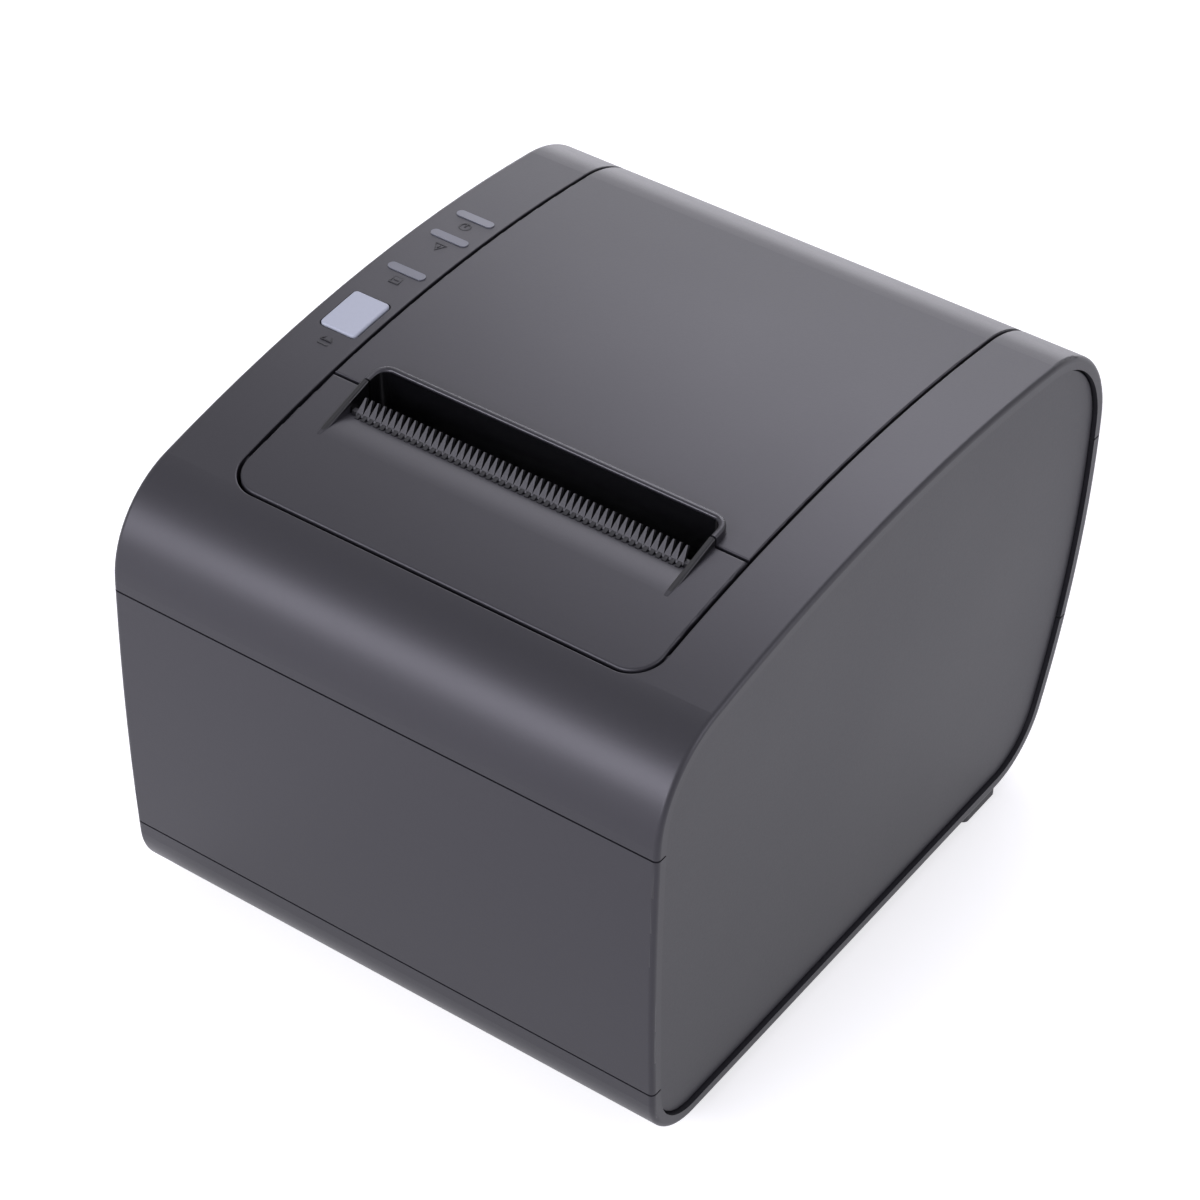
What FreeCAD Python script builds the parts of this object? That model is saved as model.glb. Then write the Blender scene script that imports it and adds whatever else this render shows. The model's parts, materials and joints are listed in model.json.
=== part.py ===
import FreeCAD, Part
import math
import os
import re

import Sketcher

# Desktop receipt printer for 80 mm paper, in millimetres.
# +X is right seen from the front, +Y to the rear, +Z up, origin under the middle of the feet.

Vector = FreeCAD.Vector
os.makedirs("parts", exist_ok=True)
doc = FreeCAD.newDocument("receipt_printer")
sheet = doc.addObject("Spreadsheet::Sheet", "Sizes")

SIZES = {
    # Case outline seen from the side: three large arcs, a flat bottom and four rounded corners
    "case_width": 140,
    "case_depth": 172,
    "top_height": 121.6,
    "foot_height": 3,
    "wall": 3,
    "shell": 2.5,
    "edge_round": 1.2,
    "front_radius": 800,
    "front_bulge_z": 52,
    "top_radius": 380,
    "top_apex_y": 15,
    "rear_radius": 200,
    "rear_bulge_z": 92,
    "corner_front_top": 24,
    "corner_rear_top": 28,
    "corner_front_bottom": 15,
    "corner_rear_bottom": 20,
    # Seams between the casing pieces
    "front_seam_high": 87.8,
    "front_seam_low": 20.9,
    "rear_seam_high": 85.7,
    "rear_seam_low": 38.5,
    "seam_gap": 0.45,
    "side_recess": 1,
    "side_thick": 2.5,
    "side_groove": 0.35,
    "seam_round": 0.3,
    # Lid, cutter cover and the opening that holds them
    "lid_half": 53,
    "opening_half": 53.7,
    "opening_front_y": -66.8,
    "opening_corner": 7.7,
    "cover_front_y": -66.05,
    "cover_corner": 7,
    "lid_seam_y": -30.2,
    "lid_seam_gap": 0.5,
    "hinge_y": 81,
    "hinge_z": 92,
    "lid_drop": 4,
    "barrel_radius": 5,
    "pin_radius": 2,
    "cover_pivot_y": -58.25,
    "cover_pivot_drop": 2.4,
    "cover_pin_radius": 1.5,
    "running_gap": 0.05,
    # Paper slot: raised rim on the lid, fins, rolled edge and comb on the cover
    "slot_half": 43.5,
    "rim_thick": 1.5,
    "rim_back_y": -23.8,
    "rim_proud": 2,
    "rim_corner": 4,
    "slot_wall_low": 108,
    "fin_tip_y": -46.5,
    "roll_start_y": -46,
    "roll_radius": 24.5,
    "cover_lip_y": -36.8,
    "comb_half": 43.1,
    "comb_foot_z": 116.6,
    "comb_bar_rise": 0.6,
    "comb_pitch": 1.64,
    "comb_teeth": 51,
    "tooth_length": 3.6,
    "tooth_thick": 0.9,
    "tooth_lean": 50,
    # Left band: button and status windows
    "band_x": -60.75,
    "button_width": 9.7,
    "button_depth": 12.7,
    "button_y": -13.3,
    "trim_proud": 0.25,
    "button_proud": 0.55,
    "window_length": 9.9,
    "window_width": 2.3,
    "panel_board_z": 110.5,
    # Paper bucket
    "roll_half": 41,
    "roll_space": 42,
    "bucket_wall": 2,
    "bucket_y": 27,
    "bucket_z": 64,
    "bucket_top": 86,
    # Mechanism
    "frame_half": 46,
    "plate_thick": 1.5,
    "frame_low": 20,
    "frame_top": 103,
    "platen_y": -21,
    "platen_z": 96,
    "platen_radius": 6,
    "platen_half": 41.5,
    "shaft_radius": 3,
    "bush_radius": 4.5,
    "gear_module": 0.8,
    "gear_play": 0.16,
    "platen_teeth": 26,
    "idler_teeth": 30,
    "pinion_teeth": 14,
    "idler_lean": 20,
    "pinion_lean": 40,
    "gear_inner_x": -48.5,
    "gear_width": 4,
    "motor_radius": 17.5,
    "head_rod_y": -32,
    "head_rod_z": 82,
    "blade_z": 104.7,
    "blade_thick": 1.1,
    "blade_half": 42,
    "cutter_module": 0.6,
    "cutter_teeth": 12,
    "cutter_x": -14,
    "cutter_y": -49,
    # Base, board and sockets
    "board_z": 8,
    "board_thick": 1.6,
    "board_half": 54,
    "board_rear_y": 59.6,
    "bay_half": 52,
    "bay_low": 9.5,
    "bay_high": 27,
    "plate_y": 62,
    "socket_rear_y": 64,
    "socket_front_y": 46,
    "post_x": 60,
    "post_front_y": -70,
    "post_rear_y": 58,
}

for row, (alias, value) in enumerate(SIZES.items(), start=1):
    sheet.set(f"A{row}", alias)
    sheet.set(f"B{row}", str(value))
    sheet.setAlias(f"B{row}", alias)
doc.recompute()

NODES = []
WORD = re.compile(r"[a-z][a-z0-9_]*")
SIDE_TURN = FreeCAD.Rotation(Vector(1, 1, 1), 120)
AXIS_TURN = {
    "x": FreeCAD.Rotation(Vector(0, 1, 0), 90),
    "y": FreeCAD.Rotation(Vector(1, 0, 0), -90),
    "z": FreeCAD.Rotation(),
}
FAR = 200


def cells(text):
    """Expression text with each size's name pointing at its cell."""
    return WORD.sub(lambda word: f"Sizes.{word[0]}" if word[0] in SIZES else word[0], str(text))


def size(text):
    """Number that an expression on the sizes gives."""
    return float(sheet.evalExpression(cells(text)))


def both(half):
    return f"-({half})", f"{half}"


def top_z(y):
    """Height of the top surface at a place along Y."""
    return f"(top_height - top_radius + sqrt(top_radius ^ 2 - (({y}) - top_apex_y) ^ 2))"


def node(label, item):
    item.Label = label
    NODES.append(item)
    return item


def block(name, x, y, z):
    item = doc.addObject("Part::Box", name)
    for side, axis, (low, high) in zip(("Length", "Width", "Height"), "xyz", (x, y, z)):
        item.setExpression(side, cells(f"({high}) - ({low})"))
        item.setExpression(f"Placement.Base.{axis}", cells(low))
    return item


def rod(name, axis, span, spot, radius):
    """Cylinder along one axis; spot is its centre on the two other axes."""
    item = doc.addObject("Part::Cylinder", name)
    item.Placement = FreeCAD.Placement(Vector(), AXIS_TURN[axis])
    item.setExpression("Radius", cells(radius))
    item.setExpression("Height", cells(f"({span[1]}) - ({span[0]})"))
    others = [letter for letter in "xyz" if letter != axis]
    for letter, place in zip([axis] + others, [span[0], *spot]):
        item.setExpression(f"Placement.Base.{letter}", cells(place))
    return item


def join(name, *pieces):
    item = doc.addObject("Part::MultiFuse", name)
    item.Shapes = list(pieces)
    return item


def overlap(name, *pieces):
    item = doc.addObject("Part::MultiCommon", name)
    item.Shapes = list(pieces)
    return item


def cut(name, base, *tools):
    item = doc.addObject("Part::Cut", name)
    item.Base = base
    item.Tool = tools[0] if len(tools) == 1 else join(name + "_tools", *tools)
    return item


def group(name, *pieces):
    item = doc.addObject("Part::Compound", name)
    item.Links = list(pieces)
    return item


def rounded(name, base, radius, wanted):
    """Fillet on the edges whose middle passes the test."""
    doc.recompute()
    item = doc.addObject("Part::Fillet", name)
    item.Base = base
    chosen = []
    for number, edge in enumerate(base.Shape.Edges, start=1):
        middle = edge.valueAt((edge.FirstParameter + edge.LastParameter) / 2)
        if wanted(edge, middle):
            chosen.append((number, size(radius), size(radius)))
    item.Edges = chosen
    return item


def upright_at(y):
    """Test for vertical edges in the plane at y."""
    place = size(y)

    def wanted(edge, middle):
        low, high = edge.BoundBox.ZMin, edge.BoundBox.ZMax
        return high - low > 1 and edge.BoundBox.XLength < 0.01 and abs(middle.y - place) < 0.01
    return wanted


def sketch(name, turn=SIDE_TURN):
    item = doc.addObject("Sketcher::SketchObject", name)
    item.Placement = FreeCAD.Placement(Vector(), turn)
    return item


def outline(name, points, turn=SIDE_TURN):
    """Closed polygon; each corner is held by two expressions."""
    item = sketch(name, turn)
    spots = [Vector(size(u), size(v), 0) for u, v in points]
    for start, end in zip(spots, spots[1:] + spots[:1]):
        item.addGeometry(Part.LineSegment(start, end))
    for index, texts in enumerate(points):
        following = (index + 1) % len(points)
        item.addConstraint(Sketcher.Constraint("Coincident", index, 2, following, 1))
        for kind, text in zip(("DistanceX", "DistanceY"), texts):
            number = item.addConstraint(Sketcher.Constraint(kind, -1, 1, index, 1, size(text)))
            item.setExpression(f"Constraints[{number}]", cells(text))
    return item


def prism(name, base, span):
    """Solid swept from a sketch along its normal, between two places."""
    item = doc.addObject("Part::Extrusion", name)
    item.Base = base
    item.DirMode = "Normal"
    item.Solid = True
    item.setExpression("LengthFwd", cells(span[1]))
    item.setExpression("LengthRev", cells(f"-({span[0]})"))
    return item


def circles_meet(centre_a, radius_a, centre_b, radius_b, side):
    """Point at two distances from two centres, left (1) or right (-1) of the line between them."""
    between = centre_b - centre_a
    along = (radius_a ** 2 - radius_b ** 2 + between.Length ** 2) / (2 * between.Length)
    across = math.sqrt(radius_a ** 2 - along ** 2)
    unit = between * (1 / between.Length)
    return centre_a + unit * along + Vector(-unit.y, unit.x, 0) * across * side


def heading(start, end):
    return math.atan2(end.y - start.y, end.x - start.x)


FRONT_CENTRE = ("front_radius - case_depth / 2", "front_bulge_z")
TOP_CENTRE = ("top_apex_y", "top_height - top_radius")
REAR_CENTRE = ("case_depth / 2 - rear_radius", "rear_bulge_z")


def profile(name, inset):
    """Side outline of the case, moved in by inset; every centre stays where it is."""
    front, top, rear = (Vector(size(y), size(z), 0) for y, z in (FRONT_CENTRE, TOP_CENTRE, REAR_CENTRE))

    def corner(big, alias):
        return size(f"{big} - {alias}")
    front_top = circles_meet(front, corner("front_radius", "corner_front_top"),
                             top, corner("top_radius", "corner_front_top"), -1)
    rear_top = circles_meet(rear, corner("rear_radius", "corner_rear_top"),
                            top, corner("top_radius", "corner_rear_top"), 1)
    low_front = size("foot_height + corner_front_bottom")
    low_rear = size("foot_height + corner_rear_bottom")
    front_run = math.sqrt(corner("front_radius", "corner_front_bottom") ** 2 - (low_front - front.y) ** 2)
    rear_run = math.sqrt(corner("rear_radius", "corner_rear_bottom") ** 2 - (low_rear - rear.y) ** 2)
    front_low = Vector(front.x - front_run, low_front, 0)
    rear_low = Vector(rear.x + rear_run, low_rear, 0)
    full = 2 * math.pi
    down = 1.5 * math.pi
    arcs = [
        (top, "top_radius", heading(top, rear_top), heading(top, front_top)),
        (front_top, "corner_front_top", heading(top, front_top), heading(front, front_top)),
        (front, "front_radius", heading(front, front_top), heading(front, front_low) % full),
        (front_low, "corner_front_bottom", heading(front, front_low) % full, down),
        (rear_low, "corner_rear_bottom", down, heading(rear, rear_low) + full),
        (rear, "rear_radius", heading(rear, rear_low), heading(rear, rear_top)),
        (rear_top, "corner_rear_top", heading(rear, rear_top), heading(top, rear_top)),
    ]
    item = sketch(name)
    for centre, alias, start, end in arcs:
        radius = size(f"{alias} - ({inset})")
        item.addGeometry(Part.ArcOfCircle(Part.Circle(centre, Vector(0, 0, 1), radius), start, end))
    floor = size(f"foot_height + ({inset})")
    line = len(arcs)
    item.addGeometry(Part.LineSegment(Vector(front_low.x, floor, 0), Vector(rear_low.x, floor, 0)))
    ring = [0, 1, 2, 3, line, 4, 5, 6]
    for index, following in zip(ring, ring[1:] + ring[:1]):
        item.addConstraint(Sketcher.Constraint("Tangent", index, 2, following, 1))

    def hold(text, *constraint):
        number = item.addConstraint(Sketcher.Constraint(*constraint, size(text)))
        item.setExpression(f"Constraints[{number}]", cells(text))
    for index, (centre, alias, start, end) in enumerate(arcs):
        hold(f"{alias} - ({inset})", "Radius", index)
    for index, (y, z) in ((2, FRONT_CENTRE), (0, TOP_CENTRE), (5, REAR_CENTRE)):
        hold(y, "DistanceX", -1, 1, index, 3)
        hold(z, "DistanceY", -1, 1, index, 3)
    item.addConstraint(Sketcher.Constraint("Horizontal", line))
    hold(f"foot_height + ({inset})", "DistanceY", -1, 1, line, 1)
    return item


def solid_profile(name, inset, half="case_width"):
    return prism(name, profile(name + "_outline", inset), both(half))


# Solids that the casing pieces are cut from
case_outer = solid_profile("case_outer", "0", "case_width / 2")
case_inner = solid_profile("case_inner", "wall")
lid_inner = solid_profile("lid_inner", "shell")
rib_inner = solid_profile("rib_inner", "2 * wall")
rim_outer = solid_profile("rim_outer", "-rim_proud")
trim_outer = solid_profile("trim_outer", "-trim_proud")
button_outer = solid_profile("button_outer", "-button_proud")


def on_side_face(edge, middle):
    half = size("case_width / 2")
    return edge.BoundBox.XLength < 0.01 and abs(abs(middle.x) - half) < 0.01


case_block = rounded("case_block", case_outer, "edge_round", on_side_face)
case_band = cut("case_band", case_block, case_inner)


def region(name, front_z, rear_z):
    """Front and rear halves of a slice of the case, each between two heights."""
    front = block(name + "_front", both(FAR), (-FAR, 0), front_z)
    rear = block(name + "_rear", both(FAR), (0, FAR), rear_z)
    return join(name, front, rear)


def seam_edge(*heights):
    """Test for the long outer edges of the band at seam heights."""
    places = [size(height) for height in heights]

    def wanted(edge, middle):
        flat = edge.BoundBox.ZLength < 0.01 and edge.BoundBox.XLength > 20
        near = any(abs(middle.z - place) < 0.02 for place in places)
        return flat and near and is_outer(middle)
    return wanted


def is_outer(point, depth=0.05):
    """True where a point lies on the outer surface of the case."""
    probe = Part.Vertex(Vector(0, point.y, point.z))
    return probe.distToShape(case_outer.Shape.Shells[0])[0] < depth


FRONT_HIGH = ("front_seam_high - seam_gap / 2", "front_seam_high + seam_gap / 2")
FRONT_LOW = ("front_seam_low - seam_gap / 2", "front_seam_low + seam_gap / 2")
REAR_HIGH = ("rear_seam_high - seam_gap / 2", "rear_seam_high + seam_gap / 2")
REAR_LOW = ("rear_seam_low - seam_gap / 2", "rear_seam_low + seam_gap / 2")


def make_front_panel():
    span = block("front_span", both(FAR), (-FAR, 0), (FRONT_LOW[1], FRONT_HIGH[0]))
    skin = overlap("front_skin", case_band, span)
    lip_y = "-case_depth / 2 + wall + 1"
    foot = block("front_lip_foot", both("60"), (f"{lip_y} - 1.5", f"{lip_y} + 1.3"),
                 ("front_seam_high - 4", FRONT_HIGH[0]))
    lip = block("front_lip", both("60"), (f"{lip_y} + 0.1", f"{lip_y} + 1.3"),
                ("front_seam_high - 4", "front_seam_high + 3"))
    node("front_panel", join("front_panel_whole", skin, foot, lip))


def make_rear_panel():
    span = block("rear_span", both(FAR), (0, FAR), (REAR_LOW[1], REAR_HIGH[0]))
    skin = overlap("rear_skin", case_band, span)
    ribs = []
    for side, x in mirrored_x(("39", "41")):
        rib = block(f"rear_rib_{side}", x, ("72", FAR), ("46", "80"))
        ribs.append(overlap(f"rear_rib_in_{side}", rib, lid_inner))
    node("rear_panel", join("rear_panel_whole", skin, *ribs))


def make_side_panels():
    half = "case_width / 2 - side_recess"
    edge = profile("panel_outline", "wall + side_groove")
    for label, span in (("side_panel_right", (f"{half} - side_thick", half)),
                        ("side_panel_left", (f"-({half})", f"-({half} - side_thick)"))):
        plate = prism(label + "_plate", edge, span)
        outside = max(abs(size(span[0])), abs(size(span[1])))
        face = rounded(label + "_face", plate, "seam_round",
                       lambda e, m: e.BoundBox.XLength < 0.01 and abs(abs(m.x) - outside) < 0.01)
        node(label, face)


def mirrored_x(place):
    """The two mirrored spans of an X range."""
    low, high = place
    return (("right", (low, high)), ("left", (f"-({high})", f"-({low})")))


def post_places():
    return [(f"{side} * post_x", y) for side in (-1, 1) for y in ("post_front_y", "post_rear_y")]


WINDOWS = {"rear_window": "29.4", "middle_window": "20", "front_window": "4.7"}


def capsule(name, y, grow, z):
    """Upright prism of a status window's rounded outline."""
    reach = f"(window_length - window_width) / 2"
    half = f"window_width / 2 + ({grow})"
    bar = block(name + "_bar", (f"band_x - {reach}", f"band_x + {reach}"),
                (f"({y}) - ({half})", f"({y}) + ({half})"), z)
    ends = [rod(f"{name}_end_{index}", "z", z, (f"band_x {sign} {reach}", y), half)
            for index, sign in enumerate("+-")]
    return join(name, bar, *ends)


def button_prism(name, grow, z):
    half_x = f"button_width / 2 + ({grow})"
    half_y = f"button_depth / 2 + ({grow})"
    bar = block(name + "_bar", (f"band_x - ({half_x})", f"band_x + ({half_x})"),
                (f"button_y - ({half_y})", f"button_y + ({half_y})"), z)
    return rounded(name, bar, f"1.1 + ({grow})", lambda e, m: e.BoundBox.ZLength > 1)


def opening_prism():
    whole = block("opening_block", both("opening_half"), ("opening_front_y", FAR), ("60", FAR))
    return rounded("opening_prism", whole, "opening_corner", upright_at("opening_front_y"))


def make_top_casing():
    span = region("top_span", (FRONT_HIGH[1], FAR), (REAR_HIGH[1], FAR))
    skin = overlap("top_skin", case_band, span)
    holes = [capsule(f"{name}_hole", y, "0.05", ("100", "130")) for name, y in WINDOWS.items()]
    holes.append(button_prism("button_hole", "0.35", ("100", "130")))
    opened = cut("top_opened", skin, opening_prism(), *holes)
    edge_half = size("opening_half")
    edge_y = size("opening_front_y")

    def lip_edge(edge, middle):
        inside = abs(middle.x) < edge_half + 0.01 and middle.y > edge_y - 0.01
        long_enough = edge.Length > 3 and abs(middle.x) < edge_half + 0.01
        return inside and long_enough and is_outer(middle) and middle.z > size("hinge_z")
    edged = rounded("top_edged", opened, "seam_round", lip_edge)
    extras = []
    for side, x in mirrored_x(("opening_half", "opening_half + 1.6")):
        rib = block(f"top_rib_{side}", x, ("-62", "70"), ("103", FAR))
        extras.append(overlap(f"top_rib_in_{side}", rib, lid_inner))
    for side, x in mirrored_x(("opening_half", "opening_half + 2.5")):
        pad = block(f"pin_pad_{side}", x, ("-62", "-50"), ("103", FAR))
        extras.append(overlap(f"pin_pad_in_{side}", pad, lid_inner))
    for side, x in mirrored_x(("opening_half", "opening_half + 4.5")):
        cheek = block(f"cheek_{side}", x, ("72", FAR), (REAR_HIGH[1], "102"))
        extras.append(overlap(f"cheek_in_{side}", cheek, lid_inner))
    for index, spot in enumerate(post_places()):
        post = rod(f"top_post_{index}", "z", ("14.2", FAR), spot, "4")
        extras.append(overlap(f"top_post_in_{index}", post, lid_inner))
    for index, y in enumerate(("-25.5", "36")):
        stud = rod(f"panel_stud_{index}", "z", ("panel_board_z + 1.3", FAR), ("band_x", y), "2")
        extras.append(overlap(f"panel_stud_in_{index}", stud, lid_inner))
    whole = join("top_whole", edged, *extras)
    bores = [rod(f"screw_bore_{index}", "z", ("10", "26"), spot, "1.5")
             for index, spot in enumerate(post_places())]
    pivot = (f"{top_z('cover_pivot_y')} - cover_pivot_drop",)
    for side, x in mirrored_x(("opening_half - 1", "opening_half + 2.6")):
        bores.append(rod(f"cover_bore_{side}", "x", x, ("cover_pivot_y", *pivot),
                         "cover_pin_radius + running_gap"))
    for side, x in mirrored_x(("opening_half - 1", "opening_half + 4")):
        bores.append(rod(f"hinge_bore_{side}", "x", x, ("hinge_y", "hinge_z"), "pin_radius + 0.02"))
    node("top_casing", cut("top_casing_whole", whole, *bores))


FEET = {
    "front_feet": (("38", "52"), ("-66", "-52")),
    "rear_feet": (("56", "69"), ("40.6", "54.1")),
}


def make_feet():
    for label, (x, y) in FEET.items():
        pads = []
        for side, span in mirrored_x(x):
            pad = block(f"{label}_{side}_pad", span, y, ("0", "foot_height + 0.9"))
            soft = rounded(f"{label}_{side}_soft", pad, "1.5", lambda e, m: e.BoundBox.ZLength > 1)
            pads.append(soft)
        node(label, group(label + "_pair", *pads))


def board_screw_places():
    return [(f"{side} * 48", y) for side in (-1, 1) for y in ("-12", "40")]


def frame_screw_places():
    return [(f"{side} * 40", y) for side in (-1, 1) for y in ("-53", "-24")]


def make_bottom_base():
    span = region("base_span", (-FAR, FRONT_LOW[0]), (-FAR, REAR_LOW[0]))
    skin = overlap("base_skin", case_band, span)
    bay = block("bay_walls", both("bay_half + 1.5"), ("plate_y + 1.6", FAR),
                ("bay_low - 1.7", "bay_high + 1.5"))
    extras = [overlap("bay_in", bay, lid_inner)]
    for index, spot in enumerate(post_places()):
        extras.append(rod(f"base_boss_{index}", "z", ("5", "14"), spot, "4.5"))
    for index, spot in enumerate(board_screw_places()):
        extras.append(rod(f"board_boss_{index}", "z", ("5", "board_z"), spot, "3"))
    for index, spot in enumerate(frame_screw_places()):
        extras.append(rod(f"frame_boss_{index}", "z", ("5", "frame_low"), spot, "4"))
    whole = join("base_whole", skin, *extras)
    tools = [block("bay_hole", both("bay_half"), ("plate_y - 1", FAR), ("bay_low", "bay_high")),
             block("plate_groove", both("bay_half + 1.6"), ("plate_y - 1", "plate_y + 1.6"),
                   ("bay_low", "bay_high + 1.6"))]
    for index, spot in enumerate(post_places()):
        tools.append(rod(f"case_screw_bore_{index}", "z", ("0", "15"), spot, "1.6"))
        tools.append(rod(f"case_screw_seat_{index}", "z", ("0", "6"), spot, "3.4"))
    for index, spot in enumerate(board_screw_places()):
        tools.append(rod(f"board_screw_bore_{index}", "z", ("4.5", "9"), spot, "1.25"))
    for index, spot in enumerate(frame_screw_places()):
        tools.append(rod(f"frame_screw_bore_{index}", "z", ("10", "21"), spot, "1.5"))
    for label, (x, y) in FEET.items():
        for side, (low, high) in mirrored_x(x):
            tools.append(block(f"{label}_{side}_seat", (f"{low} - 0.1", f"{high} + 0.1"),
                               (f"{y[0]} - 0.1", f"{y[1]} + 0.1"), ("0", "foot_height + 1")))
    for column in range(-3, 4):
        for row, (low, high) in enumerate(((-8, 12), (18, 38))):
            tools.append(block(f"vent_{column + 3}_{row}", (f"{column * 8} - 1.25", f"{column * 8} + 1.25"),
                               (low, high), ("0", "7")))
    node("bottom_base", cut("base_cut", whole, *tools))


def slot_prism(name, half, back_y, corner, z):
    whole = block(name + "_block", both(half), ("lid_seam_y + lid_seam_gap / 2 - 3", back_y), z)
    return rounded(name, whole, corner, upright_at(back_y))


def make_lid():
    front = "lid_seam_y + lid_seam_gap / 2"
    span = block("lid_span", both("lid_half"), (front, FAR), ("hinge_z - lid_drop", FAR))
    solid = overlap("lid_solid", case_outer, span)
    half, front_y = size("lid_half"), size(front)

    def rim_edge(edge, middle):
        side = abs(abs(middle.x) - half) < 0.01 or abs(middle.y - front_y) < 0.01
        return side and edge.Length > 1 and is_outer(middle) and middle.z > size("hinge_z") + 0.1
    edged = rounded("lid_edged", solid, "seam_round", rim_edge)
    plate = cut("lid_plate", edged, lid_inner)
    inner_back = "rim_back_y - rim_thick"
    slot = slot_prism("lid_slot", "slot_half", inner_back, "rim_corner - rim_thick", ("60", FAR))
    rim_whole = slot_prism("rim_prism", "slot_half + rim_thick", "rim_back_y", "rim_corner",
                           ("slot_wall_low", FAR))
    rim_front = block("rim_front", both(FAR), (front, FAR), ("slot_wall_low", FAR))
    rim_solid = overlap("rim_solid", rim_whole, rim_outer, rim_front)
    rim_open = cut("rim_open", rim_solid, slot)

    def rim_top(edge, middle):
        low = size(top_z("lid_seam_y"))
        return middle.z > low + 0.8 and abs(middle.y - front_y) > 0.05
    rim = rounded("rim_soft", rim_open, "0.65", rim_top)
    barrel = rod("lid_barrel", "x", both("lid_half"), ("hinge_y", "hinge_z"), "barrel_radius")
    extras = [rim, barrel]
    for index, x in enumerate(("-36", "-12", "12", "36")):
        post = rod(f"lid_post_{index}", "z", ("slot_wall_low + 0.7", FAR), (x, "-11"), "3")
        extras.append(overlap(f"lid_post_in_{index}", post, lid_inner))
    for index, x in enumerate(("-45", "-15", "15", "45")):
        rib = block(f"lid_rib_{index}", (f"{x} - 0.75", f"{x} + 0.75"), ("-6", "70"), ("100", FAR))
        extras.append(cut(f"lid_rib_in_{index}", overlap(f"lid_rib_low_{index}", rib, lid_inner), rib_inner))
    whole = join("lid_whole", cut("lid_slotted", plate, slot), *extras)
    bores = [rod(f"lid_pin_bore_{side}", "x", x, ("hinge_y", "hinge_z"), "pin_radius + running_gap")
             for side, x in mirrored_x(("lid_half - 8", "lid_half + 1"))]
    bores += [rod(f"holder_bore_{index}", "z", ("100", "114.5"), (x, "-11"), "1.3")
              for index, x in enumerate(("-36", "-12", "12", "36"))]
    node("paper_lid", cut("lid_cut", whole, *bores))
    pins = [rod(f"hinge_pin_{side}", "x", x, ("hinge_y", "hinge_z"), "pin_radius")
            for side, x in mirrored_x(("lid_half - 7", "opening_half + 3.8"))]
    node("hinge_pins", group("hinge_pin_pair", *pins))


def roll_centre():
    """Axis of the rolled edge, which leaves the top surface tangentially."""
    start = top_z("roll_start_y")
    y = "roll_start_y + roll_radius * (top_apex_y - roll_start_y) / top_radius"
    z = f"{start} + roll_radius * (top_height - top_radius - {start}) / top_radius"
    return y, z


def make_cutter_cover():
    rear = "lid_seam_y - lid_seam_gap / 2"
    whole = block("cover_block", both("lid_half"), ("cover_front_y", rear), ("60", FAR))
    corners = rounded("cover_corners", whole, "cover_corner", upright_at("cover_front_y"))
    solid = overlap("cover_solid", case_outer, corners)

    def rim_edge(edge, middle):
        return is_outer(middle) and edge.Length > 1
    edged = rounded("cover_edged", solid, "0.6", rim_edge)
    plate = cut("cover_plate", edged, lid_inner)
    spot = roll_centre()
    rolled = rod("roll_rod", "x", both(FAR), spot, "roll_radius")
    above = block("roll_space", both("slot_half"), ("roll_start_y", rear), ("100", FAR))
    behind = block("slot_space", both("slot_half"), ("cover_lip_y", FAR), ("100", FAR))
    opened = cut("cover_opened", plate, cut("roll_cut", above, rolled), behind)
    ring = cut("roll_ring", rolled, rod("roll_core", "x", both(FAR), spot, "roll_radius - shell"))
    lip_span = block("roll_span", both("slot_half + rim_thick / 2"),
                     ("roll_start_y - 0.5", "cover_lip_y"), ("105", FAR))
    extras = [overlap("roll_lip", ring, lip_span)]
    fin_top = f"{top_z('lid_seam_y')} + rim_proud"
    tip = top_z("fin_tip_y")
    side = outline("fin_outline", [(rear, "112"), (rear, fin_top), ("fin_tip_y", f"{tip} + 0.05"),
                                   ("fin_tip_y", f"{tip} - 1.5"), ("cover_lip_y - 4", "113.5")])
    for name, x in mirrored_x(("slot_half", "slot_half + rim_thick")):
        fin = prism(f"fin_{name}", side, x)
        crest = size(fin_top)
        extras.append(rounded(f"fin_soft_{name}", fin, "0.5",
                              lambda e, m: e.BoundBox.XLength < 0.01 and m.z > crest - 2.2 and e.Length > 10))
    pivot_z = f"{top_z('cover_pivot_y')} - cover_pivot_drop"
    for name, x in mirrored_x(("lid_half - 3", "lid_half")):
        extras.append(block(f"pin_boss_{name}", x, ("cover_pivot_y - 2.25", "cover_pivot_y + 2.25"),
                            (f"{pivot_z} - 2.1", f"{pivot_z} + 1")))
    for name, x in mirrored_x(("lid_half - 3", "opening_half + 2.2")):
        extras.append(rod(f"cover_pin_{name}", "x", x, ("cover_pivot_y", pivot_z), "cover_pin_radius"))
    node("cutter_cover", join("cover_whole", opened, *extras))


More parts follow.
